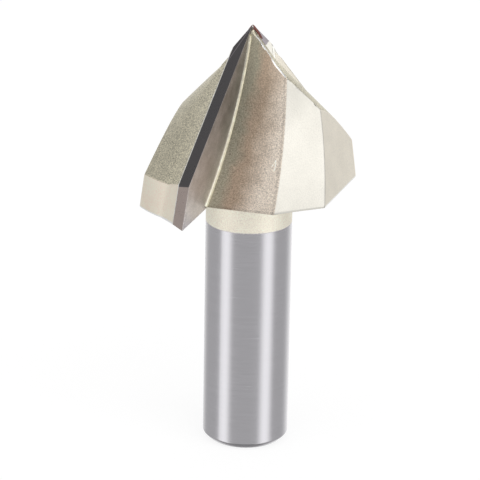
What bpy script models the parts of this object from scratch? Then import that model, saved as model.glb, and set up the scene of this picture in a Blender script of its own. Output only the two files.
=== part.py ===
"""V groove router bit: one turned and milled steel body with two brazed carbide tips."""
import math

import bpy
from mathutils import Matrix, Vector

MM = 0.001

# Turned body
TIP_HEIGHT = 64.0 * MM            # cutting point above the end of the shank
SHANK_DIAMETER = 12.7 * MM
SHANK_CHAMFER = 0.9 * MM
NECK_FILLET = 0.8 * MM            # shank into the underside of the head
HEAD_HEIGHT = 25.4 * MM           # underside of the head up to the cutting point
HEAD_DIAMETER = 35.2 * MM
CONE_SETBACK = 1.9 * MM           # body cone's own point below the cutting point
CONE_HEIGHT = 18.1 * MM           # body cone from that point to the head's full diameter
NOSE_SETBACK = 0.35 * MM          # steeper nose that backs the tips' points
NOSE_RADIUS = 3.6 * MM
TURNED_STEPS = 112

# Raised backing land right behind each carbide tip
BACKING_DIAMETER = 36.9 * MM
BACKING_SETBACK = 0.85 * MM
BACKING_REACH = 6.0 * MM
BACKING_END = 0.1 * MM            # raised land starts this far short of the tip's end grind
BACKING_NOSE = 1.2 * MM           # radius where the raised land meets the nose
BACKING_CLEARANCE = 32.0          # degrees
BACKING_DROP = 0.12 * MM          # below the carbide's own relief, at its back edge

# Cutting geometry
CUTTING_DIAMETER = 38.1 * MM
HALF_ANGLE = 45.0                 # degrees, cutting edge from the axis
RAKE_ANGLE = 12.0                 # degrees, rake face turned about the cutting edge
RELIEF_ANGLE = 17.0               # degrees, behind the sloping edge
SIDE_RELIEF = 20.0                # degrees, behind the side edge
FOOT_RELIEF = 14.0                # degrees, behind the carbide's lower edge
END_ANGLE = 48.0                  # degrees, end grind that frees each point

# Carbide tips and their braze
TIP_THICKNESS = 1.8 * MM
BRAZE = 0.17 * MM                 # film behind and inside each tip
SEAT_DEPTH = 1.0 * MM             # seat sunk below the gullet's floor
TIP_OVERHANG = 0.4 * MM           # carbide below the underside of the head
CORE_FRONT = 1.0 * MM             # cutter that hollows the braze stands proud of the rake face

# Gullet, cut by one form wheel plunged towards the axis
WHEEL_RADIUS = 29.3 * MM
WHEEL_DISTANCE = 30.37 * MM       # wheel centre from the bit's axis
WHEEL_DROP = 5.15 * MM            # wheel centre below the cutting point
WHEEL_TURN = 11.8                 # degrees, wheel axle about the bit's axis
WHEEL_TILT = 2.2                  # degrees, wheel axle above level
WHEEL_SHOULDER = 11.45 * MM       # flat rim ends here, along the axle
WHEEL_FLANK = 0.634               # growth of radius past the shoulder
WHEEL_FACE = 26.0 * MM            # wheel's outer face, along the axle
WHEEL_BACK = 16.0 * MM            # wheel's inner face, the other way
GULLET_OVERLAP = 0.3 * MM         # gullet's wall sunk into the seat's slot
WHEEL_STEPS = 144

# Heel facet behind each gullet's flank
HEEL_TURN = 7.83                  # degrees, facet's normal about the bit's axis
HEEL_RISE = 11.48                 # degrees, facet's normal above level
HEEL_DISTANCE = 7.22 * MM         # facet's plane from the cutting point

REACH = 90.0 * MM                 # size of the cutting blocks
SLICE_LENGTH = 60.0 * MM          # slices parallel to the rake face
SLICE_MARGIN = 20.0 * MM
HALF_TURN = Matrix.Rotation(math.pi, 4, "Z")
APEX = Vector((0.0, 0.0, TIP_HEIGHT))


def clear_file():
    for item in list(bpy.data.objects):
        bpy.data.objects.remove(item, do_unlink=True)


def collection(name):
    made = bpy.data.collections.new(name)
    bpy.context.scene.collection.children.link(made)
    return made


def add_object(name, mesh, home):
    item = bpy.data.objects.new(name, mesh)
    home.objects.link(item)
    if home == CUTTERS:
        item.hide_render = True
        item.display_type = "WIRE"
    return item


def direction(turn, rise):
    """Unit vector at an angle about +Z from +X and an angle above level."""
    turn, rise = math.radians(turn), math.radians(rise)
    return Vector((math.cos(turn) * math.cos(rise), math.sin(turn) * math.cos(rise), math.sin(rise)))


def frame_of(origin, x_axis, y_axis):
    z_axis = x_axis.cross(y_axis).normalized()
    axes = Matrix((x_axis, y_axis, z_axis)).transposed()
    return Matrix.Translation(origin) @ axes.to_4x4()


def block(name, low, high, frame, home):
    """Box between two corners given in a frame."""
    across, along, up = zip(low, high)
    corners = [Vector((x, y, z)) for x in across for y in along for z in up]
    faces = [(0, 1, 3, 2), (4, 6, 7, 5), (0, 4, 5, 1), (2, 3, 7, 6), (0, 2, 6, 4), (1, 5, 7, 3)]
    mesh = bpy.data.meshes.new(name)
    mesh.from_pydata([frame @ corner for corner in corners], [], faces)
    return add_object(name, mesh, home)


def beyond(name, point, normal, turn):
    """Block that fills the space past a plane."""
    side = normal.orthogonal().normalized()
    frame = turn @ frame_of(point, normal.normalized(), side)
    return block(name, (0.0, -REACH, -REACH), (REACH, REACH, REACH), frame, CUTTERS)


def turned(name, profile, steps, home, frame=None):
    """Profile of radius and height, listed down its outer side, turned about Z."""
    mesh = bpy.data.meshes.new(name)
    edges = [(index, index + 1) for index in range(len(profile) - 1)]
    mesh.from_pydata([(radius, 0.0, height) for radius, height in profile], edges, [])
    item = add_object(name, mesh, home)
    screw = item.modifiers.new("Turn", "SCREW")
    screw.steps = screw.render_steps = steps
    screw.use_merge_vertices = True
    screw.merge_threshold = 0.00001
    screw.use_smooth_shade = False
    if frame is not None:
        item.matrix_world = frame
    return item


def combine(item, other, operation):
    cut = item.modifiers.new(other.name, "BOOLEAN")
    cut.operation = operation
    cut.solver = "EXACT"
    cut.object = other
    return item


def material(name, colour, metallic, roughness):
    made = bpy.data.materials.new(name)
    made.use_nodes = True
    shader = made.node_tree.nodes["Principled BSDF"]
    shader.inputs["Base Color"].default_value = (*colour, 1.0)
    shader.inputs["Metallic"].default_value = metallic
    shader.inputs["Roughness"].default_value = roughness
    return made


def arc(centre, radius, start, end, steps):
    points = []
    for index in range(steps + 1):
        angle = math.radians(start + (end - start) * index / steps)
        points.append((centre[0] + radius * math.cos(angle), centre[1] + radius * math.sin(angle)))
    return points


def raised_profile():
    """Nose and cone of the raised backing land."""
    head = BACKING_DIAMETER / 2
    cone = TIP_HEIGHT - BACKING_SETBACK
    return [(0.0, TIP_HEIGHT - NOSE_SETBACK), (BACKING_NOSE, cone - BACKING_NOSE), (head, cone - head)]


def body_profile():
    """Blank turned to the raised backing land, with neck, shank and chamfer."""
    shank = SHANK_DIAMETER / 2
    underside = TIP_HEIGHT - HEAD_HEIGHT
    fillet = arc((shank + NECK_FILLET, underside - NECK_FILLET), NECK_FILLET, 90.0, 180.0, 6)
    return [
        *raised_profile(),
        (BACKING_DIAMETER / 2, underside),
        *fillet,
        (shank, SHANK_CHAMFER),
        (shank - SHANK_CHAMFER, 0.0),
        (0.0, 0.0),
    ]


def land_profile():
    """Lower land between the backing and the heel, carried on past the shank's end."""
    head = HEAD_DIAMETER / 2
    cone = TIP_HEIGHT - CONE_SETBACK
    return [
        (0.0, TIP_HEIGHT - NOSE_SETBACK),
        (NOSE_RADIUS, cone - CONE_HEIGHT * NOSE_RADIUS / head),
        (head, cone - CONE_HEIGHT),
        (head, -head),
        (0.0, -head),
    ]


def edge_directions():
    """Along the sloping edge from the point, and square to it into the carbide."""
    half = math.radians(HALF_ANGLE)
    along = Vector((0.0, -math.sin(half), -math.cos(half)))
    inward = Vector((0.0, math.cos(half), -math.sin(half)))
    return along, inward


def rake_frame():
    """Frame at the point: X out of the rake face, Y along the sloping edge."""
    along, inward = edge_directions()
    rake = math.radians(RAKE_ANGLE)
    out = Vector((1.0, 0.0, 0.0)) * math.cos(rake) + inward * math.sin(rake)
    return frame_of(APEX, out, along)


def side_normal(angle):
    """Square to the side edge, eased back by a clearance angle."""
    out = rake_frame().to_3x3() @ Vector((1.0, 0.0, 0.0))
    down = Vector((-out.z, 0.0, out.x)) * -1.0
    back = math.radians(angle)
    flat = Vector((-math.sin(back), -math.cos(back), 0.0))
    return (flat - down * flat.dot(down) / down.length_squared).normalized()


def slope_normal(angle):
    """Square to the sloping edge, eased back by a clearance angle."""
    inward = edge_directions()[1]
    back = math.radians(angle)
    return Vector((-math.sin(back), 0.0, 0.0)) - inward * math.cos(back)


def tip_back(relief):
    """Step from a cutting edge, down its relief, to the back of the braze."""
    out = rake_frame().to_3x3() @ Vector((1.0, 0.0, 0.0))
    down = (-out + relief * relief.dot(out)).normalized()
    return down * (TIP_THICKNESS + BRAZE) / -down.dot(out)


def end_normal():
    """Across the axis from the rake face, square to the side edge."""
    out = rake_frame().to_3x3() @ Vector((1.0, 0.0, 0.0))
    across = out.cross(Vector((-out.z, 0.0, out.x))).normalized()
    angle = math.radians(END_ANGLE)
    return across * math.copysign(math.cos(angle), across.y) - out * math.sin(angle)


def corner():
    radius = CUTTING_DIAMETER / 2
    return APEX + Vector((0.0, -radius, -radius / math.tan(math.radians(HALF_ANGLE))))


def wheel(name, radius, flank, turn):
    """Form wheel on its tilted axle; a straight rim when it has no flank."""
    axle = direction(WHEEL_TURN, WHEEL_TILT)
    side = Vector((0.0, 0.0, 1.0)).cross(axle).normalized()
    frame = turn @ Matrix.Translation((0.0, -WHEEL_DISTANCE, TIP_HEIGHT - WHEEL_DROP)) \
        @ Matrix((side, axle.cross(side), axle)).transposed().to_4x4()
    outer = radius + flank * (WHEEL_FACE - WHEEL_SHOULDER)
    profile = [
        (0.0, WHEEL_FACE),
        (outer, WHEEL_FACE),
        (radius, WHEEL_SHOULDER),
        (radius, -WHEEL_BACK),
        (0.0, -WHEEL_BACK),
    ]
    return turned(name, profile, WHEEL_STEPS, CUTTERS, frame)


def slab(name, front, back, turn, home=None):
    """Slice of space parallel to the rake face, from its front to its back."""
    low = (back, -SLICE_MARGIN, -SLICE_MARGIN)
    high = (front, SLICE_LENGTH, SLICE_LENGTH)
    return block(name, low, high, turn @ rake_frame(), home or CUTTERS)


def foot_plane(floor, angle):
    """Point and normal of the lower face, which rises behind the rake face's lower edge."""
    out = rake_frame().to_3x3() @ Vector((1.0, 0.0, 0.0))
    point = Vector((out.z * (TIP_HEIGHT - floor) / out.x, 0.0, floor))
    level = Vector((out.x, out.y, 0.0)).normalized()
    rise = math.radians(angle)
    return point, -level * math.sin(rise) - Vector((0.0, 0.0, math.cos(rise)))


def grind(item, label, turn, floor, angle):
    """Relief faces and foot that shape a tip or its braze."""
    combine(item, beyond(label + " relief", APEX, slope_normal(RELIEF_ANGLE), turn), "DIFFERENCE")
    combine(item, beyond(label + " side", corner(), side_normal(SIDE_RELIEF), turn), "DIFFERENCE")
    combine(item, beyond(label + " foot", *foot_plane(floor, angle), turn), "DIFFERENCE")
    other = turn @ HALF_TURN
    combine(item, beyond(label + " far relief", APEX, slope_normal(RELIEF_ANGLE), other), "DIFFERENCE")
    return item


def blank(name, front, film, turn, home=None):
    """Unground tip: a slice cut round inside and square at its end, with a film added behind."""
    item = slab(name, front, -TIP_THICKNESS - film, turn, home)
    combine(item, wheel(name + " inside", WHEEL_RADIUS + SEAT_DEPTH - BRAZE + film, 0.0, turn), "INTERSECT")
    end = APEX + end_normal() * film
    return combine(item, beyond(name + " end", end, end_normal(), turn), "DIFFERENCE")


def carbide_tip(name, turn, home):
    floor = TIP_HEIGHT - HEAD_HEIGHT - TIP_OVERHANG
    return grind(blank(name, 0.0, 0.0, turn, home), name, turn, floor, FOOT_RELIEF)


def braze_seam(name, kept, turn, home):
    """Film between a tip and its seat, level with the lands."""
    seam = blank(name, 0.0, BRAZE, turn, home)
    combine(seam, blank(name + " core", CORE_FRONT, 0.0, turn), "DIFFERENCE")
    combine(seam, kept, "INTERSECT")
    return grind(seam, name, turn, TIP_HEIGHT - HEAD_HEIGHT, 0.0)


def backing(name, turn):
    """Raised land behind a tip, part of the one-piece body."""
    land = slab(name, -TIP_THICKNESS / 2, -BACKING_REACH, turn)
    slope, side = slope_normal(BACKING_CLEARANCE), side_normal(BACKING_CLEARANCE)
    foot = APEX + tip_back(slope_normal(RELIEF_ANGLE)) - slope * BACKING_DROP
    combine(land, beyond(name + " slope", foot, slope, turn), "DIFFERENCE")
    foot = corner() + tip_back(side_normal(SIDE_RELIEF)) - side * BACKING_DROP
    combine(land, beyond(name + " side", foot, side, turn), "DIFFERENCE")
    end = APEX - end_normal() * BACKING_END
    return combine(land, beyond(name + " end", end, end_normal(), turn), "DIFFERENCE")


def lands():
    """Space kept when the blank's lands are relieved."""
    kept = turned("Lands", land_profile(), TURNED_STEPS, CUTTERS)
    for label, turn in SIDES:
        combine(kept, backing("Backing " + label, turn), "UNION")
    return kept


def gullet(name, turn):
    """Form wheel's cut, kept to the front of the rake face."""
    cut = wheel(name, WHEEL_RADIUS, WHEEL_FLANK, turn)
    low = (-GULLET_OVERLAP, -REACH, -REACH)
    front = block(name + " front", low, (REACH, REACH, REACH), turn @ rake_frame(), CUTTERS)
    return combine(cut, front, "INTERSECT")


def tool_body(kept, home):
    body = turned("tool_body", body_profile(), TURNED_STEPS, home)
    combine(body, kept, "INTERSECT")
    for label, turn in SIDES:
        facet = direction(HEEL_TURN, HEEL_RISE)
        combine(body, beyond("Heel " + label, APEX + facet * HEEL_DISTANCE, facet, turn), "DIFFERENCE")
        combine(body, gullet("Gullet " + label, turn), "DIFFERENCE")
        combine(body, blank("Seat " + label, 0.0, BRAZE, turn), "DIFFERENCE")
    return body


def build():
    parts = PARTS
    steel = material("Coated and ground steel", (0.55, 0.52, 0.44), 1.0, 0.42)
    carbide = material("Tungsten carbide", (0.10, 0.10, 0.11), 0.9, 0.30)
    copper = material("Copper braze", (0.52, 0.25, 0.15), 1.0, 0.38)
    kept = lands()
    tool_body(kept, parts).data.materials.append(steel)
    for label, turn in SIDES:
        carbide_tip("carbide_tip_" + label, turn, parts).data.materials.append(carbide)
        braze_seam("braze_seam_" + label, kept, turn, parts).data.materials.append(copper)


SIDES = (("front", Matrix.Identity(4)), ("rear", HALF_TURN))
clear_file()
PARTS = collection("V groove router bit")
CUTTERS = collection("Cutters")
build()
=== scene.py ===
"""V groove router bit: coated steel head, ground shank, brazed carbide tips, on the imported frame."""

import math

import bpy
from mathutils import Matrix, Vector


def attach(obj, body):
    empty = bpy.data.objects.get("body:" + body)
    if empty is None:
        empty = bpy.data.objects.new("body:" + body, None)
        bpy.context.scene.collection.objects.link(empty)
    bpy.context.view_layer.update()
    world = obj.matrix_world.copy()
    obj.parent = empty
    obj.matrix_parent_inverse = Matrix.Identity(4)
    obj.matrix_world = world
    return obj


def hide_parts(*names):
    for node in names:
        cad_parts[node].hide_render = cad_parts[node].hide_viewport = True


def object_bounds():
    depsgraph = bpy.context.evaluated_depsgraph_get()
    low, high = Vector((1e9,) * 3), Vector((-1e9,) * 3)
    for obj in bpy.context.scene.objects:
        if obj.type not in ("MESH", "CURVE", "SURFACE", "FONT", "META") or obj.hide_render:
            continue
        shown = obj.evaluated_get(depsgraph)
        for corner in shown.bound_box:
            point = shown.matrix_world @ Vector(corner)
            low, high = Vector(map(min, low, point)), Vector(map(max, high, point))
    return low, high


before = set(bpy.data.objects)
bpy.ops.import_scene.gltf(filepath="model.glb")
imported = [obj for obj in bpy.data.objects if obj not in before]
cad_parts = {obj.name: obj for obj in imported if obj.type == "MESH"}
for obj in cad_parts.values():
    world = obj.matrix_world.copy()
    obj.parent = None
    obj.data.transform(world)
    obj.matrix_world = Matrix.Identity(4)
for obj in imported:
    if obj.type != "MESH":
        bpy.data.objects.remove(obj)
CAD_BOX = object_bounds()

bl_info = {
    "name": "V groove router bit",
    "version": (1, 0, 0),
    "blender": (4, 5, 0),
    "location": "View3D > Sidebar > Router Bit",
    "description": "Dresses the router bit's steel, carbide and braze, and sets its studio",
    "category": "Object",
}

MM = 0.001
TO_MM = 1000.0
CUTTING_POINT = CAD_BOX[1].z
POINT = Vector((0.0, 0.0, CUTTING_POINT))

# The rear half is the front half turned half way round, which changes the signs of X and Y
SIDES = {"front": 1.0, "rear": -1.0}

# Copies of CAD meshes: how close points are merged, and by how little a flat face may turn
WELD = 0.004 * MM
SLIVER = 0.05 * MM
SHORT_STEP = 0.22 * MM
FLAT_ANGLE = math.radians(0.4)

# Broken edges: share of the ridges' width on plain edges, the least turns that are broken on the body and the
# tips, and the turn above which shading stays crisp
PLAIN_EDGE = 0.8
BODY_EDGE_ANGLE = math.radians(20.0)
TIP_EDGE_ANGLE = math.radians(25.0)
CRISP_ANGLE = math.radians(24.0)

# The nose, and the tips' seats on each side of the rake face, where the body's edges stay as they are
HEAD_FOOT = CUTTING_POINT - 25.4 * MM
NOSE_TOP = CUTTING_POINT - 2.6 * MM
SEAT_BACK = -2.25 * MM
SEAT_FRONT = 0.2 * MM

# Rake face of the front tip: normal, square to the 45 degree cutting edge and turned by the rake angle
RAKE = math.radians(12.0)
SLOPE = math.cos(math.radians(45.0))
RAKE_NORMAL = Vector((math.cos(RAKE), math.sin(RAKE) * SLOPE, -math.sin(RAKE) * SLOPE))
CUTTING_EDGE = Vector((0.0, -SLOPE, -SLOPE))
INWARD = RAKE_NORMAL.cross(CUTTING_EDGE)

# End grind of the front tip: square to its side edge, eased back
SIDE_EDGE = Vector((-RAKE_NORMAL.z, 0.0, RAKE_NORMAL.x)).normalized()
ACROSS = -RAKE_NORMAL.cross(SIDE_EDGE)
END_GRIND = math.radians(48.0)
END_NORMAL = ACROSS * math.cos(END_GRIND) - RAKE_NORMAL * math.sin(END_GRIND)
END_BACK = -(RAKE_NORMAL * math.cos(END_GRIND) + ACROSS * math.sin(END_GRIND))

# Wheel that cut the front gullet. Past its shoulder its radius grows, which cuts the gullet's flank
WHEEL_CENTRE = Vector((0.0, -30.37 * MM, CUTTING_POINT - 5.15 * MM))
WHEEL_RADIUS = 29.3 * MM
WHEEL_TURN = math.radians(11.8)
WHEEL_TILT = math.radians(2.2)
WHEEL_AXLE = Vector((
    math.cos(WHEEL_TURN) * math.cos(WHEEL_TILT),
    math.sin(WHEEL_TURN) * math.cos(WHEEL_TILT),
    math.sin(WHEEL_TILT),
))
WHEEL_SHOULDER = 11.45 * MM
WHEEL_FLANK = 0.634

# Ridges and valleys of the gullets: how near a point has to be to the wheel's rim and the rake face to count,
# and where they start
RIDGE_REACH = 0.1 * MM
RIDGE_START = 0.5 * MM
RIDGE_FOOT = HEAD_FOOT + 1.0 * MM
VALLEY_REACH = 0.03 * MM
VALLEY_START = 0.5 * MM

# Thread of braze on each end grind: its ends, in mm back into the tip and up the rake face, and half its
# width and height
THREAD_START = (0.02, -0.05)
THREAD_END = (1.30, -2.45)
THREAD_WIDTH = 0.20 * MM
THREAD_HEIGHT = 0.10 * MM

# Two scratches on the front gullet: middle, direction and half length, with half their width and the gullet's
# normal there. Lengths are in mm
SCRATCHES = (
    (Vector((5.47, -3.20, 44.82)) * MM, Vector((-0.386, -0.503, -0.773)), 0.62),
    (Vector((5.73, -3.46, 44.37)) * MM, Vector((-0.013, -0.523, -0.853)), 0.70),
)
SCRATCH_WIDTH = 0.08
SCRATCHED_NORMAL = Vector((0.16, -0.84, 0.52))

# Places where the body's finishes change, in mm: heights, a distance from the axis, distances in front of the
# rake face, out from the wheel's rim and past its shoulder, and how far noise shifts the colours' edges
HEAD_START = 38.5
# FOOT_EDGE bounds a painted highlight along the head's foot, with a painted shadow line where the gullets and
# flanks end on it
FOOT_EDGE = (38.52, 38.86)
FLANK_TOP = 52.0
GULLET_TOP = 56.0
BAND_RADIUS = 17.35
# The painted shade beside each valley ends this far in front of the rake face
VALLEY_SHADE_END = 2.2
# The painted light on the outer part of each gullet starts this far in front of the rake face
TINTED_LIT_START = 5.4
DRIFT = 3.0
NEAR_TIP = (-4.0, -1.0)
BEHIND_TIP = (-8.5, 0.2)
SHINE_START = 0.9
SHINE_SKIN = (0.02, 0.24)
GULLET_SKIN = 0.1
FLANK_SKIN = (-0.12, 0.12)
SHOULDER_LINE = 0.02
SHINE_END = -0.1
CREASE = (-0.45, 0.5)
COAT_WAVER = 0.3

# Lands face up at least this much, and lie outside the cone where radius + LAND_FALL * height is LAND_SUM
LAND_RISE = 0.52
LAND_FALL = 0.97
LAND_SUM = 59.0

# How much lighter each place of the coating is, as a share of its colour, and how much stronger its grain is
# Painted light: plain, plain band, flank and gullet top. Painted highlight: foot edge. Painted shadow lines:
# flank foot and gullet foot. Painted shade: crease
LIGHTER = {
    "plain": 0.36, "plain band": 0.16, "foot edge": 0.45, "flank foot": -0.75, "gullet foot": -0.62,
    "collar": 0.14, "gullet top": 0.45, "land by tip": 0.16, "scratch": 0.45, "crease": -0.16,
    "flank": 0.17, "flank top": -0.05,
}
GRAINIER = {"land": 2.0, "land by tip": 1.0, "gullet": 1.3, "collar": 0.5, "flank top": -0.4}
COAT_GRAIN = 0.5
COAT_CLOUD = 0.25
STEEL_LINES = 0.25

# Roughness of the coating and the steel, with the collar's extra and the swing that the noise gives each
COAT_ROUGHNESS, COAT_SWING, COLLAR_ROUGHER = 0.44, 0.30, 0.16
STEEL_ROUGHNESS, STEEL_SWING = 0.24, 0.16

# Relief: shares of grain and grit in the coating's, of the rings in the bare steel's, and of lines and grain
# in the carbide's, with the depth of each surface's relief
COAT_GRAIN_RELIEF, COAT_GRIT_RELIEF, STEEL_RELIEF, BODY_RELIEF = 0.7, 0.3, 0.12, 0.06 * MM
LINE_RELIEF, GRAIN_RELIEF, TIP_RELIEF = 0.7, 0.3, 0.01 * MM

# Ground marks, as how many times the noise repeats per mm along X, Y and Z
SHANK_RINGS = (0.25, 0.25, 14.0)
GRINDING_LINES = (9.0, 0.8, 0.8)
RAKE_MARKS = (1.0, 1.6, 1.6)

# Places where the carbide's finishes change, in mm: off each ground face, and heights on the outer side. The
# braze that covers an end grind starts along a slanted line, which clouds shift
RAKE_SKIN = (-0.045, 0.05)
END_SKIN = (-0.05, 0.05)
END_FOOT = 56.0
COVERED_START = 4.7
COVERED_SLANT = 0.7
COVERED_DRIFT = 1.5
SIDE_TOP = 44.9
SIDE_FALL = 0.26
SIDE_DEPTH = (-2.2, 0.2)
SIDE_RADIUS = 18.3
# Below this height the rake faces are painted lighter, standing in for the gullet that they reflect
LOW_REFLECTION = 46.0
MARK_LEVEL = 0.73

# Brightness of the haze on the rake faces: its base, and what each part adds, the inward part for each mm
HAZE = 0.74
# The low part is a painted reflection: the rake faces get lighter towards the bottom, where they mirror the
# gullet
HAZIER = {"low": 0.95, "cloud": 0.8, "inward": -0.035, "mark": 0.22}

# Carbide's grain and roughness, with what the rake faces add, and the swing that clouds and grain give
CARBIDE_GRAIN, RAKE_GRAIN = 0.25, 0.6
CARBIDE_ROUGHNESS, RAKE_ROUGHER, CLOUD_SWING, GRAIN_SWING = 0.30, 0.12, 0.2, 0.1

# Braze: height in mm above which it keeps its copper colour and how far clouds shift that, how strongly the
# clouds show, the swing of its roughness, and each kind's roughness and height of grain
COPPER_START, COPPER_DRIFT = 63.6, 2.0
BRAZE_CLOUD = 0.9
BRAZE_SWING = 0.25
COPPER_SKIN = (0.42, 0.02 * MM)
BEAD_SKIN = (0.34, 0.03 * MM)

# What the metal mirrors, in degrees: turn about +Z from +X, half width and its soft edge, lowest and highest
# rise and their soft edge. The names are the settings that hold the brightness
MIRRORED = (
    ("ceiling", -75.0, 72.0, 40.0, -6.0, 84.0, 12.0),
    ("backdrop", 110.0, 36.0, 34.0, -50.0, 36.0, 24.0),
    ("left_box", -124.5, 14.0, 12.0, -56.0, 2.0, 18.0),
    ("right_box", -8.5, 15.0, 14.0, -56.0, 48.0, 16.0),
    ("key_box", -24.0, 30.0, 18.0, 4.0, 58.0, 16.0),
)
GROUND_RISE = -50.0
GROUND_SHADE = 0.26

# Floor: its own colour, and the white that the camera sees mixed into it, with its share
WHITE = (1.0, 1.0, 1.0, 1.0)
FLOOR_COLOUR = (0.9, 0.9, 0.9, 1.0)
FLOOR_WHITE = 1.14
FLOOR_SHARE = 0.7

# Camera at the photo's viewing angle: place in metres, and the directions of its own axes
CAMERA_PLACE = Vector((0.181161, -0.362960, 0.178095))
CAMERA_RIGHT = Vector((0.89035, 0.45494, 0.01739))
CAMERA_UP = Vector((-0.16966, 0.29612, 0.93996))
CAMERA_BACK = Vector((0.42248, -0.83985, 0.34084))
SENSOR_WIDTH = 36.0
CLIP_START = 0.01


# Settings


class BodySettings(bpy.types.PropertyGroup):
    edge_round: bpy.props.FloatProperty(
        name="Edge Round", description="Width of the gullets' worn ridges; other edges get four fifths of it",
        default=0.20 * MM, min=0.0, subtype="DISTANCE", unit="LENGTH")
    coating_end: bpy.props.FloatProperty(
        name="Coating End", description="Height above the shank's end where the coating stops",
        default=34.3 * MM, min=0.0, subtype="DISTANCE", unit="LENGTH")
    coating_colour: bpy.props.FloatVectorProperty(
        name="Coating Colour", description="Champagne coating over the head and collar",
        default=(0.66, 0.62, 0.54), subtype="COLOR", min=0.0, max=1.0)
    # Painted shade: darker olive coating beside each valley, where the carbide wall beside it shades the
    # gullet
    valley_shade_colour: bpy.props.FloatVectorProperty(
        name="Valley Colour", description="Olive coating beside each valley, dulled by the brazing heat",
        default=(0.42, 0.39, 0.297), subtype="COLOR", min=0.0, max=1.0)
    gullet_colour: bpy.props.FloatVectorProperty(
        name="Gullet Colour", description="Rosy coating over the middle of each gullet",
        default=(0.48, 0.375, 0.28), subtype="COLOR", min=0.0, max=1.0)
    land_colour: bpy.props.FloatVectorProperty(
        name="Land Colour", description="Olive champagne coating over the lands",
        default=(0.60, 0.56, 0.44), subtype="COLOR", min=0.0, max=1.0)
    # Painted light: the outer part of each gullet is paler where the flank beside it lights it, over a warmer
    # tint of the coating
    tinted_lit_colour: bpy.props.FloatVectorProperty(
        name="Dusted Colour", description="Warm pale coating on the outer part of each gullet",
        default=(0.80, 0.71, 0.61), subtype="COLOR", min=0.0, max=1.0)
    # Painted highlight: a near-white line along the upper edge of each gullet, where its broken edge catches
    # the light
    ridge_highlight_colour: bpy.props.FloatVectorProperty(
        name="Ridge Colour", description="Coating worn bright along the upper edge of each gullet",
        default=(1.0, 0.98, 0.93), subtype="COLOR", min=0.0, max=1.0)
    band_colour: bpy.props.FloatVectorProperty(
        name="Band Colour", description="Warmer coating on the upright side bands behind the tips",
        default=(0.70, 0.60, 0.51), subtype="COLOR", min=0.0, max=1.0)
    # Painted light: the flank facing each gullet is made paler and whiter, where it faces the soft box on the
    # right
    lit_flank_colour: bpy.props.FloatVectorProperty(
        name="Flank Colour", description="Pale coating on the flank that faces each gullet",
        default=(0.66, 0.64, 0.585), subtype="COLOR", min=0.0, max=1.0)
    steel_colour: bpy.props.FloatVectorProperty(
        name="Steel Colour", description="Ground steel of the shank",
        default=(0.58, 0.57, 0.595), subtype="COLOR", min=0.0, max=1.0)


class TipSettings(bpy.types.PropertyGroup):
    edge_round: bpy.props.FloatProperty(
        name="Edge Round", description="Width of the honed edges on the carbide",
        default=0.035 * MM, min=0.0, subtype="DISTANCE", unit="LENGTH")
    carbide_colour: bpy.props.FloatVectorProperty(
        name="Carbide Colour", description="Freshly ground tungsten carbide",
        default=(0.112, 0.106, 0.109), subtype="COLOR", min=0.0, max=1.0)
    side_colour: bpy.props.FloatVectorProperty(
        name="Side Colour", description="Side faces of the carbide, ground before the coating",
        default=(0.46, 0.385, 0.355), subtype="COLOR", min=0.0, max=1.0)
    end_colour: bpy.props.FloatVectorProperty(
        name="End Colour", description="End grinds beside the cutting point",
        default=(0.30, 0.275, 0.29), subtype="COLOR", min=0.0, max=1.0)
    covered_colour: bpy.props.FloatVectorProperty(
        name="Covered Colour", description="Pale braze over the lower part of each end grind",
        default=(0.72, 0.70, 0.64), subtype="COLOR", min=0.0, max=1.0)
    rake_colour: bpy.props.FloatVectorProperty(
        name="Rake Colour", description="Rake faces, which keep a thin haze of coating",
        default=(0.50, 0.47, 0.47), subtype="COLOR", min=0.0, max=1.0)


class BrazeSettings(bpy.types.PropertyGroup):
    film_colour: bpy.props.FloatVectorProperty(
        name="Film Colour", description="Copper coloured film between carbide and steel, near the point",
        default=(0.22, 0.095, 0.08), subtype="COLOR", min=0.0, max=1.0)
    # Painted highlight: the film below the point is near white, so that its thin edge shows as a bright line
    # beside each tip's relief face
    dulled_glint_colour: bpy.props.FloatVectorProperty(
        name="Dulled Colour", description="The same film further down, under the coating",
        default=(0.97, 0.95, 0.88), subtype="COLOR", min=0.0, max=1.0)
    bead_radius: bpy.props.FloatProperty(
        name="Bead Radius", description="Radius of the braze bead along each gullet's valley",
        default=0.32 * MM, min=0.0, subtype="DISTANCE", unit="LENGTH")
    bead_colour: bpy.props.FloatVectorProperty(
        name="Bead Colour", description="Pale braze that ran out along the valley",
        default=(0.93, 0.88, 0.72), subtype="COLOR", min=0.0, max=1.0)


class StudioSettings(bpy.types.PropertyGroup):
    lens: bpy.props.FloatProperty(
        name="Lens", description="Focal length of the camera in millimetres",
        default=219.5, min=1.0)
    floor_size: bpy.props.FloatProperty(
        name="Floor Size", description="Side of the pale floor",
        default=6.0, min=0.1, subtype="DISTANCE", unit="LENGTH")
    room: bpy.props.FloatProperty(
        name="Room", description="Brightness of the room that the metal mirrors",
        default=0.56, min=0.0)
    ceiling: bpy.props.FloatProperty(
        name="Ceiling", description="Brightness of the ceiling in front of the bit",
        default=0.88, min=0.0)
    right_box: bpy.props.FloatProperty(
        name="Right Box", description="Brightness of the soft box on the right",
        default=1.45, min=0.0)
    key_box: bpy.props.FloatProperty(
        name="Key Box", description="Brightness of the wide soft box above the right one",
        default=1.48, min=0.0)
    left_box: bpy.props.FloatProperty(
        name="Left Box", description="Brightness of the low soft box on the left",
        default=1.47, min=0.0)
    backdrop: bpy.props.FloatProperty(
        name="Backdrop", description="Brightness of the backdrop behind the bit",
        default=1.12, min=0.0)


# Shader helpers


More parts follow.
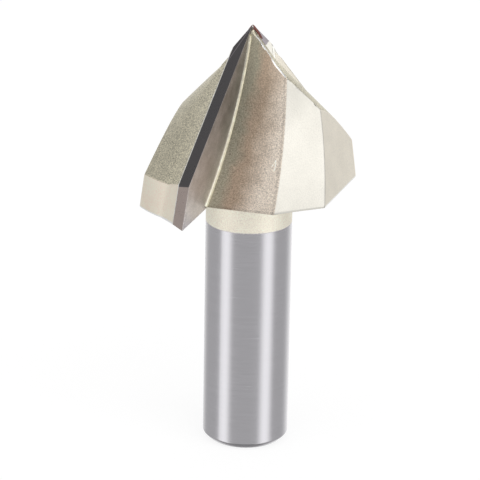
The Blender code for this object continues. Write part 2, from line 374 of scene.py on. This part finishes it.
class Value:
    """A shader socket that Python arithmetic can be done on."""

    def __init__(self, shader, socket):
        self.shader = shader
        self.socket = socket

    def math(self, operation, *others, clamp=False):
        inputs = dict(enumerate((self, *others)))
        return self.shader.node("ShaderNodeMath", {"operation": operation, "use_clamp": clamp}, inputs)

    def __add__(self, other):
        return self.math("ADD", other)

    def __radd__(self, other):
        return self.math("ADD", other)

    def __sub__(self, other):
        return self.math("SUBTRACT", other)

    def __rsub__(self, other):
        return (self * -1.0) + other

    def __mul__(self, other):
        return self.math("MULTIPLY", other)

    def __rmul__(self, other):
        return self.math("MULTIPLY", other)

    def __truediv__(self, other):
        return self.math("DIVIDE", other)

    def siblings(self):
        """All the outputs of the node that this value comes from."""
        return [Value(self.shader, socket) for socket in self.socket.node.outputs]

    def clamped(self):
        return self.math("ADD", 0.0, clamp=True)

    def above(self, level, soft):
        """1 where the value is over a level, 0 under it, with a soft step between."""
        return ((self - level) * (1.0 / soft) + 0.5).clamped()

    def between(self, low, high, soft):
        """1 where the value lies between two levels, 0 elsewhere, with soft steps."""
        return self.above(low, soft) * (1.0 - self.above(high, soft))


class Shader:
    """Node tree that is written as expressions."""

    def __init__(self, tree):
        self.tree = tree
        self.tree.nodes.clear()

    def node(self, kind, settings=None, inputs=None, output=0):
        """New node, as the value of one of its outputs."""
        made = self.tree.nodes.new(kind)
        for name, value in (settings or {}).items():
            setattr(made, name, value)
        for name, value in (inputs or {}).items():
            if isinstance(value, Value):
                self.tree.links.new(value.socket, made.inputs[name])
            else:
                made.inputs[name].default_value = value
        return Value(self, made.outputs[output]) if made.outputs else None

    def mix(self, factor, first, second):
        """Colour that goes from the first to the second as the factor goes from 0 to 1."""
        return self.node("ShaderNodeMix", {"data_type": "RGBA"}, {0: factor, 6: first, 7: second}, 2)

    def place(self):
        """Object coordinates in millimetres."""
        coords = self.node("ShaderNodeTexCoord", output=3)
        return self.node("ShaderNodeVectorMath", {"operation": "SCALE"}, {0: coords, "Scale": TO_MM})

    def facing(self):
        """Normal of the flat face, in the object's own directions."""
        normal = self.node("ShaderNodeNewGeometry").siblings()[3]
        turned = {"vector_type": "NORMAL", "convert_from": "WORLD", "convert_to": "OBJECT"}
        return self.node("ShaderNodeVectorTransform", turned, {0: normal})

    def stretched(self, vector, factors):
        return self.node("ShaderNodeVectorMath", {"operation": "MULTIPLY"}, {0: vector, 1: factors})

    def noise(self, vector, scale, detail=2.0, roughness=0.5):
        return self.node("ShaderNodeTexNoise", {"noise_dimensions": "3D"},
                         {"Vector": vector, "Scale": scale, "Detail": detail, "Roughness": roughness})

    def split(self, vector):
        return self.node("ShaderNodeSeparateXYZ", {}, {0: vector}).siblings()

    def tinted(self, colour, factor):
        """Colour made lighter or darker by a value."""
        return self.node("ShaderNodeVectorMath", {"operation": "SCALE"}, {0: colour, "Scale": factor})

    def bump(self, height, strength, distance):
        return self.node("ShaderNodeBump", {}, {"Strength": strength, "Distance": distance, "Height": height})


def rgba(colour):
    return (*colour, 1.0)


def new_material(name):
    made = bpy.data.materials.new(name)
    made.use_nodes = True
    return made, Shader(made.node_tree)


def close_metal(shader, colour, roughness, normal):
    """Ends a metal's node tree."""
    inputs = {"Base Color": colour, "Metallic": 1.0, "Roughness": roughness, "Normal": normal}
    surface = shader.node("ShaderNodeBsdfPrincipled", {}, inputs)
    shader.node("ShaderNodeOutputMaterial", {}, {"Surface": surface})


def along(shader, vector, origin, axis, side):
    """Distance from an origin along an axis, in millimetres; side -1 turns both half way round the bit."""
    x, y, z = shader.split(vector)
    return (x * axis.x + y * axis.y) * side + z * axis.z - origin.dot(axis) * TO_MM


def rake_depth(shader, vector, side):
    """Distance in front of a side's rake face."""
    return along(shader, vector, POINT, RAKE_NORMAL, side)


def rim_distance(shader, vector, side):
    """Distance outside the rim of the wheel that cut a side's gullet."""
    first = WHEEL_AXLE.orthogonal().normalized()
    second = WHEEL_AXLE.cross(first)
    across = along(shader, vector, WHEEL_CENTRE, first, side)
    upward = along(shader, vector, WHEEL_CENTRE, second, side)
    return (across * across + upward * upward).math("SQRT") - WHEEL_RADIUS * TO_MM


def both_sides(masks):
    """Masks of the front and the rear added up, by name."""
    front, rear = masks
    return {name: front[name] + rear[name] for name in front}


# Materials


def gullet_masks(shader, place, depth, head, side):
    """Where the finishes round one side's gullet and tip lie: 1 on them, 0 off them."""
    rim = rim_distance(shader, place, side)
    axial = along(shader, place, WHEEL_CENTRE, WHEEL_AXLE, side) - WHEEL_SHOULDER * TO_MM
    ahead = depth.above(0.0, soft=0.1) * head
    beyond = axial.above(SHOULDER_LINE, soft=0.03)
    gullet = ahead * (1.0 - rim.above(GULLET_SKIN, soft=0.1)) * (1.0 - beyond)
    # Painted highlight along the gullet's upper edge, just off the wheel's rim
    ridge = depth.above(SHINE_START, soft=0.3) * rim.between(*SHINE_SKIN, soft=0.03)
    return {
        "gullet": gullet,
        "flank": ahead * (rim - axial * WHEEL_FLANK).between(*FLANK_SKIN, soft=0.04) * beyond,
        "ridge": ridge * (1.0 - axial.above(SHINE_END, soft=0.1)),
        # Painted shade in the crease where each gullet's floor meets its flank
        "crease": gullet * axial.between(*CREASE, soft=0.2),
        "near tip": depth.between(*NEAR_TIP, soft=3.0),
        "behind tip": depth.between(*BEHIND_TIP, soft=0.2),
    }


def scratch_mask(shader, place):
    """Where the scratches of the front gullet run."""
    marks = 0.0
    for middle, direction, half in SCRATCHES:
        lengthwise = along(shader, place, middle, direction, 1.0).between(-half, half, soft=0.3)
        across = along(shader, place, middle, SCRATCHED_NORMAL.cross(direction), 1.0)
        marks = lengthwise * across.between(-SCRATCH_WIDTH, SCRATCH_WIDTH, soft=0.06) + marks
    return marks


def body_masks(shader, place, on, head):
    """Adds the finishes that don't follow one side's wheel to the gullets' masks."""
    x, y, z = shader.split(place)
    radius = (x * x + y * y).math("SQRT")
    bands = radius.above(BAND_RADIUS, soft=0.1)
    backed = (radius + z * LAND_FALL - LAND_SUM).above(0.0, soft=0.4)
    off_gullets = (1.0 - on["gullet"]) * (1.0 - on["flank"])
    land = shader.split(shader.facing())[2].above(LAND_RISE, soft=0.05) * backed * off_gullets
    # Plain faces are everything off the lands, gullets, flanks and ridges; LIGHTER paints them and the bands
    # behind the tips lighter, as painted light
    plain = (1.0 - land) * off_gullets * (1.0 - on["ridge"])
    # Painted highlight along the head's foot edge, turned into a painted shadow line at the foot of the
    # gullets and flanks
    foot = z.between(*FOOT_EDGE, soft=0.1) * head
    on.update({
        "land": land,
        "land by tip": land * on["near tip"],
        "band": bands * on["behind tip"] * off_gullets,
        "plain": plain,
        "plain band": plain * bands,
        "foot edge": foot,
        "gullet foot": foot * on["gullet"],
        "flank foot": foot * on["flank"],
        # Painted light: each gullet gets lighter towards its top
        "gullet top": z.above(GULLET_TOP, soft=7.0) * on["gullet"],
        "flank top": z.above(FLANK_TOP, soft=5.0) * on["flank"],
        "scratch": scratch_mask(shader, place) * on["gullet"],
        "collar": 1.0 - head,
    })


def body_material(settings):
    """Ground steel with a champagne coating over the head and collar."""
    made, shader = new_material("Coated and ground steel")
    place = shader.place()
    z = shader.split(place)[2]
    cloud = shader.noise(place, scale=0.3, detail=3.0) - 0.5
    grain = shader.noise(place, scale=5.2, roughness=0.7)
    grit = shader.noise(place, scale=9.0, roughness=0.6)
    lines = shader.noise(shader.stretched(place, SHANK_RINGS), scale=1.0, detail=4.0, roughness=0.7)
    coat = (z + (grit - 0.5) * COAT_WAVER).above(settings.coating_end * TO_MM, soft=0.12)
    head = z.above(HEAD_START, soft=0.1)

    tone = rgba(settings.coating_colour)
    masks = []
    for side in SIDES.values():
        depth = rake_depth(shader, place, side)
        masks.append(gullet_masks(shader, place, depth, head, side))
        drift = depth + cloud * DRIFT
        # Painted light and a warmer tint on the outer part of each gullet, away from the valley
        floor = shader.mix(
            drift.above(TINTED_LIT_START, soft=3.4), rgba(settings.gullet_colour), rgba(settings.tinted_lit_colour))
        # Painted shade: darker olive next to each valley
        floor = shader.mix(drift.above(VALLEY_SHADE_END, soft=1.6), rgba(settings.valley_shade_colour), floor)
        tone = shader.mix(masks[-1]["gullet"], tone, floor)
        # Painted light: paler colour on each flank
        tone = shader.mix(masks[-1]["flank"], tone, rgba(settings.lit_flank_colour))
    on = both_sides(masks)
    body_masks(shader, place, on, head)
    tone = shader.mix(on["band"], tone, rgba(settings.band_colour))
    tone = shader.mix(on["land"], tone, rgba(settings.land_colour))
    # Painted highlight along each gullet's upper edge
    tone = shader.mix(on["ridge"].clamped(), tone, rgba(settings.ridge_highlight_colour))

    # Painted light and shade from LIGHTER, over random clouding of the coating's tone
    shade = 1.0 + cloud * COAT_CLOUD + sum(on[name] * lift for name, lift in LIGHTER.items())
    grained = COAT_GRAIN + sum(on[name] * more for name, more in GRAINIER.items())
    coating = shader.tinted(tone, shade + (grain - 0.5) * grained)
    steel = shader.tinted(settings.steel_colour, 1.0 + (lines - 0.5) * STEEL_LINES)

    rough_coat = COAT_ROUGHNESS + (grain - 0.5) * COAT_SWING + on["collar"] * COLLAR_ROUGHER
    rough_steel = STEEL_ROUGHNESS + (lines - 0.5) * STEEL_SWING
    roughness = rough_steel + (rough_coat - rough_steel) * coat
    blasted = grain * COAT_GRAIN_RELIEF + grit * COAT_GRIT_RELIEF
    height = blasted * coat + lines * STEEL_RELIEF * (1.0 - coat)
    normal = shader.bump(height, strength=0.6, distance=BODY_RELIEF)
    close_metal(shader, shader.mix(coat, steel, coating), roughness, normal)
    return made


def tip_masks(shader, place, cloud, side):
    """Where one tip's finishes lie: 1 on them, 0 off them. "inward" is mm from the cutting edge."""
    z = shader.split(place)[2]
    depth = rake_depth(shader, place, side)
    rake = depth.between(*RAKE_SKIN, soft=0.02)
    end = along(shader, place, POINT, END_NORMAL, side).between(*END_SKIN, soft=0.02)
    end = end * z.above(END_FOOT, soft=0.5)
    back = along(shader, place, POINT, END_BACK, side)
    up = along(shader, place, POINT, SIDE_EDGE, side)
    covered = back * COVERED_SLANT - up + cloud * COVERED_DRIFT
    side_foot = 1.0 - (z - depth * SIDE_FALL).above(SIDE_TOP, soft=0.05)
    return {
        "rake": rake,
        "inward": rake * along(shader, place, POINT, INWARD, side),
        "end": end,
        "covered": end * covered.above(COVERED_START, soft=0.2),
        "outer": side_foot * depth.between(*SIDE_DEPTH, soft=0.1),
    }


def carbide_material(settings):
    """Dark ground carbide, hazed and lighter on the rake faces, with a painted reflection lower down them."""
    made, shader = new_material("Ground tungsten carbide")
    place = shader.place()
    x, y, z = shader.split(place)
    cloud = shader.noise(place, scale=0.45, detail=3.0, roughness=0.6) - 0.5
    grain = shader.noise(place, scale=4.5, roughness=0.6)
    lines = shader.noise(shader.stretched(place, GRINDING_LINES), scale=1.0, detail=3.0, roughness=0.6)
    marks = shader.noise(shader.stretched(place, RAKE_MARKS), scale=1.0, detail=1.0, roughness=0.4)
    on = both_sides([tip_masks(shader, place, cloud, side) for side in SIDES.values()])

    on["cloud"] = cloud
    # Painted reflection: lighter towards the bottom of the rake faces
    on["low"] = 1.0 - z.above(LOW_REFLECTION, soft=12.0)
    on["mark"] = marks.above(MARK_LEVEL, soft=0.05)
    haze = HAZE + sum(on[name] * more for name, more in HAZIER.items())
    outer = on["outer"] * (x * x + y * y).math("SQRT").above(SIDE_RADIUS, soft=0.05)
    tone = shader.mix(outer, rgba(settings.carbide_colour), rgba(settings.side_colour))
    tone = shader.mix(on["end"], tone, rgba(settings.end_colour))
    tone = shader.mix(on["covered"], tone, rgba(settings.covered_colour))
    tone = shader.mix(on["rake"], tone, shader.tinted(settings.rake_colour, haze))
    colour = shader.tinted(tone, 1.0 + (grain - 0.5) * (CARBIDE_GRAIN + on["rake"] * RAKE_GRAIN))
    roughness = CARBIDE_ROUGHNESS + on["rake"] * RAKE_ROUGHER
    roughness = roughness + cloud * CLOUD_SWING + (grain - 0.5) * GRAIN_SWING
    relief = lines * LINE_RELIEF + grain * GRAIN_RELIEF
    normal = shader.bump(relief, strength=0.25, distance=TIP_RELIEF)
    close_metal(shader, colour, roughness, normal)
    return made


def braze_material(name, tint, low_tint, roughness, grain_height):
    """Braze with a dull, uneven skin, in one tint near the point and another below it."""
    made, shader = new_material(name)
    place = shader.place()
    z = shader.split(place)[2]
    cloud = shader.noise(place, scale=1.1, detail=3.0, roughness=0.6)
    grain = shader.noise(place, scale=5.0, roughness=0.6)
    tone = shader.mix((z + cloud * COPPER_DRIFT).above(COPPER_START, soft=0.8), rgba(low_tint), rgba(tint))
    colour = shader.tinted(tone, 1.0 + (cloud - 0.5) * BRAZE_CLOUD)
    normal = shader.bump(grain, strength=0.5, distance=grain_height)
    close_metal(shader, colour, roughness + (grain - 0.5) * BRAZE_SWING, normal)
    return made


# Modelling helpers


def deselect_all():
    bpy.ops.object.select_all(action="DESELECT")


def make_active(piece):
    deselect_all()
    piece.select_set(True)
    bpy.context.view_layer.objects.active = piece


def merged_copy(node, name, reach=WELD):
    """Copy of a CAD node with its triangles merged back into whole faces."""
    bpy.context.tool_settings.mesh_select_mode = (True, False, False)
    piece = bpy.data.objects.new(name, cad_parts[node].data.copy())
    piece.data.name = name
    bpy.context.scene.collection.objects.link(piece)
    piece.data.materials.clear()
    make_active(piece)
    bpy.ops.object.mode_set(mode="EDIT")
    bpy.ops.mesh.select_all(action="SELECT")
    bpy.ops.mesh.remove_doubles(threshold=reach)
    bpy.ops.mesh.dissolve_limited(angle_limit=FLAT_ANGLE)
    bpy.ops.mesh.select_all(action="DESELECT")
    bpy.ops.object.mode_set(mode="OBJECT")
    return piece


def half_turned(point):
    """The same place on the other half of the bit."""
    return Vector((-point.x, -point.y, point.z))


def rake_distance(point):
    """Distance of a point in front of the front tip's rake face."""
    return (point - POINT).dot(RAKE_NORMAL)


def wheel_place(point):
    """Distances of a point along the axle of the front gullet's wheel and out from it."""
    spoke = point - WHEEL_CENTRE
    along_axle = spoke.dot(WHEEL_AXLE)
    return along_axle, (spoke - WHEEL_AXLE * along_axle).length


def clear_of_seats(point):
    """Whether a point of the body lies away from the tips' seats and the cutting point."""
    depth = rake_distance(half_turned(point) if point.y > 0.0 else point)
    seated = SEAT_BACK < depth < SEAT_FRONT and point.z > HEAD_FOOT - SLIVER
    return not seated and point.z < NOSE_TOP


def on_ridge(point):
    """Whether a point lies on the upper edge of a gullet, up to the shoulder of its wheel."""
    for half in (point, half_turned(point)):
        axial, rim = wheel_place(half)
        in_front = rake_distance(half) > RIDGE_START and axial < WHEEL_SHOULDER
        if in_front and abs(rim - WHEEL_RADIUS) < RIDGE_REACH:
            return point.z > RIDGE_FOOT
    return False


def on_valley(point, side):
    """Whether a point of the body lies where a side's gullet meets its rake face."""
    if side == "rear":
        point = half_turned(point)
    off_rim = wheel_place(point)[1] - WHEEL_RADIUS
    return max(abs(rake_distance(point)), abs(off_rim)) < VALLEY_REACH and point.y < -VALLEY_START


def mark_edges(piece):
    """Weighs the sharp edges that the bevel is to take, after merging their shortest steps."""
    make_active(piece)
    for vertex in piece.data.vertices:
        vertex.select = clear_of_seats(vertex.co)
    bpy.ops.object.mode_set(mode="EDIT")
    bpy.ops.mesh.remove_doubles(threshold=SHORT_STEP)
    bpy.context.tool_settings.mesh_select_mode = (False, True, False)
    bpy.ops.mesh.select_all(action="DESELECT")
    bpy.ops.mesh.edges_select_sharp(sharpness=BODY_EDGE_ANGLE)
    bpy.ops.object.mode_set(mode="OBJECT")
    mesh = piece.data
    weights = mesh.attributes.new("bevel_weight_edge", "FLOAT", "EDGE")
    for edge in mesh.edges:
        ends = [mesh.vertices[index].co for index in edge.vertices]
        if edge.select and all(clear_of_seats(end) for end in ends):
            weights.data[edge.index].value = 1.0 if all(on_ridge(end) for end in ends) else PLAIN_EDGE


def round_edges(piece, width, segments, angle=None):
    """Bevels the edges that turn by more than an angle or, without an angle, those that carry a weight."""
    make_active(piece)
    bevel = piece.modifiers.new("Broken edges", "BEVEL")
    bevel.width = width
    bevel.segments = segments
    bevel.miter_outer = "MITER_ARC"
    if angle is None:
        bevel.limit_method = "WEIGHT"
        bevel.use_clamp_overlap = False
    else:
        bevel.limit_method = "ANGLE"
        bevel.angle_limit = angle
    bpy.ops.object.modifier_apply(modifier=bevel.name)


def finish_piece(piece, nodes, material):
    """Smooths a piece between its crisp edges, and gives it its material and body."""
    make_active(piece)
    bpy.ops.object.shade_smooth_by_angle(angle=CRISP_ANGLE)
    flat = piece.modifiers.new("Flat faces", "WEIGHTED_NORMAL")
    flat.keep_sharp = True
    bpy.ops.object.modifier_apply(modifier=flat.name)
    piece.data.materials.append(material)
    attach(piece, "root")
    if nodes:
        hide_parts(*nodes)


def on_end_grind(back, up):
    """Point of the front tip's end grind, in mm from the cutting point into the tip and up its rake face."""
    return POINT + END_BACK * back * MM + SIDE_EDGE * up * MM


def point_thread(name, side):
    """Long rounded thread of braze that lies on a tip's end grind."""
    first, last = on_end_grind(*THREAD_START), on_end_grind(*THREAD_END)
    half_length = (last - first).length / 2.0
    axis = (last - first).normalized()
    facing = Matrix((axis, END_NORMAL.cross(axis), END_NORMAL)).transposed().to_quaternion()
    deselect_all()
    bpy.ops.mesh.primitive_uv_sphere_add(
        segments=32, ring_count=16, radius=1.0, location=(first + last) / 2.0, rotation=facing.to_euler())
    bpy.ops.transform.resize(value=(half_length, THREAD_WIDTH, THREAD_HEIGHT), orient_type="LOCAL")
    piece = bpy.context.active_object
    piece.name = name
    bpy.ops.object.transform_apply(location=True, rotation=True, scale=True)
    if side == "rear":
        bpy.ops.object.mode_set(mode="EDIT")
        bpy.ops.mesh.select_all(action="SELECT")
        bpy.ops.transform.rotate(value=math.pi, orient_axis="Z", center_override=(0.0, 0.0, 0.0))
        bpy.ops.object.mode_set(mode="OBJECT")
    return piece


def valley_bead(name, side, radius):
    """Bead swept along the line where the body's gullet meets a tip's rake face."""
    piece = merged_copy("tool_body", name)
    for vertex in piece.data.vertices:
        vertex.select = on_valley(vertex.co, side)
    bpy.ops.object.mode_set(mode="EDIT")
    bpy.ops.mesh.select_all(action="INVERT")
    bpy.ops.mesh.delete(type="VERT")
    bpy.ops.object.mode_set(mode="OBJECT")
    bpy.ops.object.convert(target="CURVE")
    line = bpy.context.object.data
    line.bevel_depth = radius
    line.bevel_resolution = 2
    line.use_fill_caps = True
    bpy.ops.object.convert(target="MESH")
    return bpy.context.object


# Studio


def soft_box(toward, turn, half, soft):
    """1 inside an upright soft box at a turn about +Z from +X, 0 outside it; angles in degrees."""
    x, y, _ = toward
    level = (x * x + y * y).math("SQRT")
    aim = (x * math.cos(math.radians(turn)) + y * math.sin(math.radians(turn))) / level
    return 1.0 - (aim.math("ARCCOSINE") * math.degrees(1.0)).above(half, soft)


def studio_world(settings):
    """White to the camera; to the metal, a grey room with a pale ceiling, a backdrop and three soft boxes."""
    world = bpy.data.worlds.new("Studio")
    world.use_nodes = True
    bpy.context.scene.world = world
    shader = Shader(world.node_tree)
    toward = shader.split(shader.node("ShaderNodeTexCoord"))[:3]
    rise = toward[2].math("ARCSINE") * math.degrees(1.0)
    glow = settings.room - GROUND_SHADE * (1.0 - rise.above(GROUND_RISE, soft=20.0))
    for name, turn, half, soft, low, high, edge in MIRRORED:
        box = soft_box(toward, turn, half, soft) * rise.between(low, high, edge)
        glow = glow + (getattr(settings, name) - glow) * box
    seen = shader.node("ShaderNodeLightPath")
    strength = glow + (1.0 - glow) * seen
    light = shader.node("ShaderNodeBackground", {}, {"Color": WHITE, "Strength": strength})
    shader.node("ShaderNodeOutputWorld", {}, {"Surface": light})


def floor_material():
    """Pale floor that the camera sees as white with the bit's shadow on it."""
    made, shader = new_material("Studio floor")
    matt = shader.node("ShaderNodeBsdfDiffuse", {}, {"Color": FLOOR_COLOUR})
    white = shader.node("ShaderNodeEmission", {}, {"Color": WHITE, "Strength": FLOOR_WHITE})
    seen = shader.node("ShaderNodeLightPath")
    mixed = shader.node("ShaderNodeMixShader", {}, {0: seen * FLOOR_SHARE, 1: matt, 2: white})
    shader.node("ShaderNodeOutputMaterial", {}, {"Surface": mixed})
    return made


def add_camera(scene, focal_length):
    lens = bpy.data.cameras.new("Camera")
    lens.sensor_width = SENSOR_WIDTH
    lens.lens = focal_length
    lens.clip_start = CLIP_START
    camera = bpy.data.objects.new("Camera", lens)
    scene.collection.objects.link(camera)
    place = Matrix((CAMERA_RIGHT, CAMERA_UP, CAMERA_BACK)).transposed().to_4x4()
    place.translation = CAMERA_PLACE
    camera.matrix_world = place
    scene.camera = camera


# Operators


class ROUTERBIT_OT_body(bpy.types.Operator):
    """Steel body with broken edges, coated head and ground shank"""
    bl_idname = "routerbit.body"
    bl_label = "Steel Body"

    def execute(self, context):
        settings = context.scene.router_bit_body
        piece = merged_copy("tool_body", "milled_body", SLIVER)
        mark_edges(piece)
        round_edges(piece, settings.edge_round, 2)
        finish_piece(piece, ["tool_body"], body_material(settings))
        return {"FINISHED"}


class ROUTERBIT_OT_tips(bpy.types.Operator):
    """Carbide tips with honed edges"""
    bl_idname = "routerbit.tips"
    bl_label = "Carbide Tips"

    def execute(self, context):
        settings = context.scene.router_bit_tips
        material = carbide_material(settings)
        for side in SIDES:
            piece = merged_copy("carbide_tip_" + side, "ground_tip_" + side)
            round_edges(piece, settings.edge_round, 1, TIP_EDGE_ANGLE)
            finish_piece(piece, ["carbide_tip_" + side], material)
        return {"FINISHED"}


class ROUTERBIT_OT_braze(bpy.types.Operator):
    """Copper coloured film round each tip, pale bead along each valley and copper thread on each end grind"""
    bl_idname = "routerbit.braze"
    bl_label = "Braze"

    def execute(self, context):
        settings = context.scene.router_bit_braze
        copper, dulled, pale = settings.film_colour, settings.dulled_glint_colour, settings.bead_colour
        # The film's low tint is near white: a painted highlight beside each tip's relief face
        film = braze_material("Copper braze film", copper, dulled, *COPPER_SKIN)
        for side in SIDES:
            piece = merged_copy("braze_seam_" + side, "braze_film_" + side)
            finish_piece(piece, ["braze_seam_" + side], film)
        bead = braze_material("Pale braze bead", pale, pale, *BEAD_SKIN)
        for side in SIDES:
            piece = valley_bead("valley_bead_" + side, side, settings.bead_radius)
            finish_piece(piece, [], bead)
        thread = braze_material("Copper braze thread", copper, copper, *COPPER_SKIN)
        for side in SIDES:
            piece = point_thread("point_thread_" + side, side)
            finish_piece(piece, [], thread)
        return {"FINISHED"}


class ROUTERBIT_OT_studio(bpy.types.Operator):
    """Pale floor, studio world with soft boxes, and camera"""
    bl_idname = "routerbit.studio"
    bl_label = "Studio"

    def execute(self, context):
        settings = context.scene.router_bit_studio
        deselect_all()
        bpy.ops.mesh.primitive_plane_add(size=settings.floor_size, location=(0.0, 0.0, 0.0))
        floor = context.active_object
        floor.name = "studio_floor"
        floor.data.materials.append(floor_material())
        floor.visible_glossy = False
        floor.visible_shadow = False
        studio_world(settings)
        context.scene.view_settings.view_transform = "Standard"
        add_camera(context.scene, settings.lens)
        return {"FINISHED"}


class ROUTERBIT_PT_panel(bpy.types.Panel):
    """Router bit pieces and studio"""
    bl_idname = "ROUTERBIT_PT_panel"
    bl_label = "Router Bit"
    bl_space_type = "VIEW_3D"
    bl_region_type = "UI"
    bl_category = "Router Bit"

    def draw(self, context):
        scene = context.scene
        for settings, operator in (
            (scene.router_bit_body, ROUTERBIT_OT_body), (scene.router_bit_tips, ROUTERBIT_OT_tips),
            (scene.router_bit_braze, ROUTERBIT_OT_braze), (scene.router_bit_studio, ROUTERBIT_OT_studio),
        ):
            box = self.layout.box()
            for name in settings.__annotations__:
                box.prop(settings, name)
            box.operator(operator.bl_idname)


CLASSES = (
    BodySettings, TipSettings, BrazeSettings, StudioSettings,
    ROUTERBIT_OT_body, ROUTERBIT_OT_tips, ROUTERBIT_OT_braze, ROUTERBIT_OT_studio, ROUTERBIT_PT_panel,
)
GROUPS = {
    "router_bit_body": BodySettings, "router_bit_tips": TipSettings,
    "router_bit_braze": BrazeSettings, "router_bit_studio": StudioSettings,
}


def register():
    for item in CLASSES:
        bpy.utils.register_class(item)
    for name, group in GROUPS.items():
        setattr(bpy.types.Scene, name, bpy.props.PointerProperty(type=group))


def unregister():
    for name in GROUPS:
        delattr(bpy.types.Scene, name)
    for item in reversed(CLASSES):
        bpy.utils.unregister_class(item)


def main():
    register()
    bpy.ops.routerbit.body()
    bpy.ops.routerbit.tips()
    bpy.ops.routerbit.braze()
    bpy.ops.routerbit.studio()
    bpy.context.view_layer.update()


if __name__ == "__main__":
    main()
